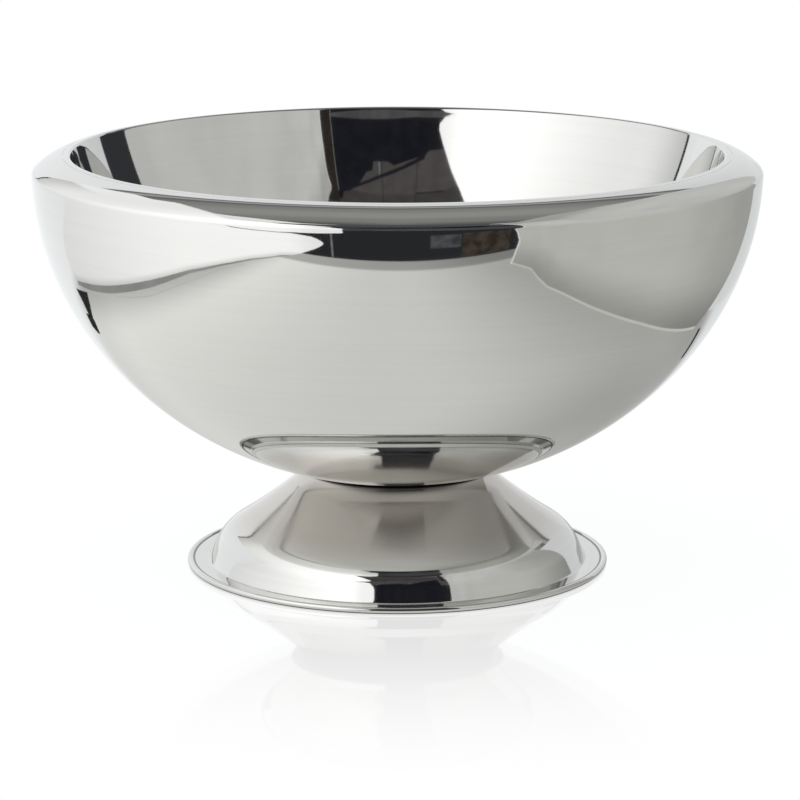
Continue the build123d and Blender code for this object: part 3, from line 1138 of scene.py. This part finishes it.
def add_cupboards(rig):
    """Row of cupboards on the far wall of the dark room, under a darker strip."""
    material, n, emission, (x, _, z) = glow("cupboards")
    worn = n.noise(n.place(), 6.0, detail=3.0)
    level = n.product(
        n.smooth(worn, 0.3, 0.7, 0.9, 1.1),
        n.smooth(z, 1.86, 1.92, 1.0, 0.72),
        *[n.smooth(n.gap(x, joint_x), 0.006, 0.016, 0.72, 1.0) for joint_x in CUPBOARD_JOINTS],
    )
    n.link(n.scaled(CUPBOARD_COLOUR, level), emission.inputs["Color"])
    n.finish(emission)
    outline = [(-1.4, 1.38), (1.3, 1.38), (1.3, 2.6), (-1.4, 2.6)]
    standing("cupboards", ROOM_Y, outline, material, rig)


def add_room(rig):
    """Things in front of the cupboards. Each stands at its own distance ahead of them."""
    cloth = [
        (0.96, 1.00),
        (0.96, 2.05),
        (0.88, 2.05),
        (0.83, 1.93),
        (0.71, 1.89),
        (0.53, 1.74),
        (0.43, 1.61),
        (0.34, 1.58),
        (0.32, 1.48),
        (0.13, 1.47),
        (0.05, 1.51),
        (-0.18, 1.45),
        (-0.36, 1.42),
        (-0.42, 1.37),
        (-0.52, 1.34),
        (-0.50, 1.20),
        (-0.38, 1.12),
        (-0.21, 1.06),
        (0.10, 1.00),
    ]
    boom = [
        (0.73, 1.875),
        (0.25, 1.665),
        (-0.36, 1.445),
        (-0.36, 1.400),
        (0.25, 1.620),
        (0.73, 1.835),
    ]
    shelf = [(-0.27, 1.845), (-0.70, 1.870), (-0.70, 1.890), (-0.27, 1.865)]
    tube = [(0.232, 1.465), (0.246, 1.465), (0.246, 1.610), (0.232, 1.610)]
    tape = [
        (0.3005, 0.53),
        (0.3035, 0.53),
        (0.3085, 0.63),
        (0.3235, 0.84),
        (0.3205, 0.84),
        (0.3055, 0.63),
    ]
    post = [(0.3030, 0.53), (0.3465, 0.53), (0.3700, 0.79), (0.4200, 0.90), (0.3260, 0.90)]
    desk = [
        (1.20, 0.90),
        (1.20, 1.10),
        (0.85, 1.10),
        (-0.21, 1.06),
        (-1.20, 1.13),
        (-1.20, 0.90),
    ]
    things = [
        ("tape", tape, 1.165, (0.30, 0.30, 0.28)),
        ("post", post, 1.170, (0.032, 0.027, 0.024)),
        ("desk", desk, 0.015, (0.105, 0.102, 0.105)),
        ("dark_cloth", cloth, 0.010, (0.0155, 0.0162, 0.0220)),
        ("boom", boom, 0.020, (0.018, 0.018, 0.023)),
        ("shelf", shelf, 0.020, (0.020, 0.020, 0.022)),
        ("tube", tube, 0.030, (0.24, 0.27, 0.31)),
    ]
    for name, outline, ahead, colour in things:
        standing(name, ROOM_Y + ahead, outline, worn_glow(name, colour, 8.0, 0.75), rig)


WHITE = (1, 1, 1, 1)


def set_look():
    scene = bpy.context.scene
    scene.view_settings.view_transform = "Standard"
    scene.view_settings.look = "None"
    scene.cycles.use_denoising = True
    scene.cycles.max_bounces = 16
    scene.cycles.glossy_bounces = 12
    world = bpy.data.worlds.new("white")
    scene.world = world
    world.use_nodes = True
    world.node_tree.nodes["Background"].inputs[0].default_value = WHITE


# The bowl

STEEL = (0.715, 0.718, 0.700)
# Colour of the foot's rougher zone: painted shade, darker and warmer than the polished steel
SATIN_SHADE_STEEL = (0.58, 0.55, 0.515)

# Painted shade: the shell's seat and the foot's top go near black where they meet
shell_steel = steel(
    "polished_shell",
    STEEL,
    roughness=0.035,
    line_depth=0.0000003,
    streak=0.02,
    joint_shading=(0.0563, 0.0557),
)
liner_steel = steel("polished_liner", STEEL, roughness=0.035, line_depth=0.0000003, streak=0.02)
# The foot also has a painted shade line in its groove, and a zone whose colour is painted shade
foot_steel = steel(
    "polished_foot",
    STEEL,
    roughness=0.045,
    line_depth=0.0000005,
    streak=0.03,
    satin_and_shade=(0.030, 0.016, 0.062, SATIN_SHADE_STEEL),
    joint_shading=(0.0526, 0.0538),
    groove_shading=(0.1130, 0.1145),
)
satin_steel = steel(
    "satin_steel",
    (0.60, 0.59, 0.57),
    roughness=0.32,
    line_depth=0.000004,
    streak=0.15,
)
zinc = steel(
    "zinc_plated_steel",
    (0.66, 0.68, 0.70),
    roughness=0.25,
    line_depth=0.000003,
    streak=0.12,
)
rubber = soft_solid(
    "black_rubber",
    (0.02, 0.02, 0.02),
    roughness=0.7,
    grain_scale=900.0,
    grain_depth=0.00005,
)
foam = soft_solid(
    "grey_foam",
    (0.20, 0.20, 0.21),
    roughness=0.95,
    grain_scale=500.0,
    grain_depth=0.0004,
)


def below(level, fade):
    """Share of the ripple: full a fade below a level, none above it."""
    return lambda height: min(1.0, max(0.0, (level - height) / fade))


# Ripples, in millimetres: waves round the axis, pitch along the section and phase, then the
# depth, the height above which there is none, and how far below that it is full
SHELL_LOBES = [(3, 90.0, 0.4), (7, -70.0, 2.1), (5, 30.0, 1.0)]
LINER_LOBES = [(4, 60.0, 0.9), (9, -45.0, 0.2), (13, 25.0, 2.2)]
FOOT_LOBES = [(3, 50.0, 0.1), (6, 22.0, 1.3)]
WALL_RIPPLE = 0.03
FOOT_RIPPLE = 0.02
SHELL_CALM_Z = 215.0
LINER_CALM_Z = 225.0
FOOT_CALM_Z = 50.0
WALL_FADE = 40.0
FOOT_FADE = 20.0

shell = turned(
    "shell_wall",
    shell_outline(),
    "outer_shell",
    SHELL_LOBES,
    WALL_RIPPLE,
    below(SHELL_CALM_Z, WALL_FADE),
)
liner = turned(
    "liner",
    liner_outline(),
    "inner_bowl",
    LINER_LOBES,
    WALL_RIPPLE,
    below(LINER_CALM_Z, WALL_FADE),
)
foot = turned(
    "foot",
    foot_outline(),
    "pedestal_foot",
    FOOT_LOBES,
    FOOT_RIPPLE,
    below(FOOT_CALM_Z, FOOT_FADE),
)
dress(shell, shell_steel)
dress(liner, liner_steel)
dress(foot, foot_steel)

MATERIAL_OF = {
    "base_plate": satin_steel,
    "foot_stud": zinc,
    "flat_washer": zinc,
    "lock_washer": zinc,
    "hex_nut": zinc,
    "seat_gasket": rubber,
    "spacer_pad": foam,
}
for node, material in MATERIAL_OF.items():
    dress(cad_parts[node], material)

rig = add_rig(add_camera())
add_floor(rig)
add_strips(rig)
add_dome(rig)
add_lights(rig)
add_papers(rig)
add_board(rig)
add_clutter(rig)
add_cupboards(rig)
add_room(rig)
set_look()
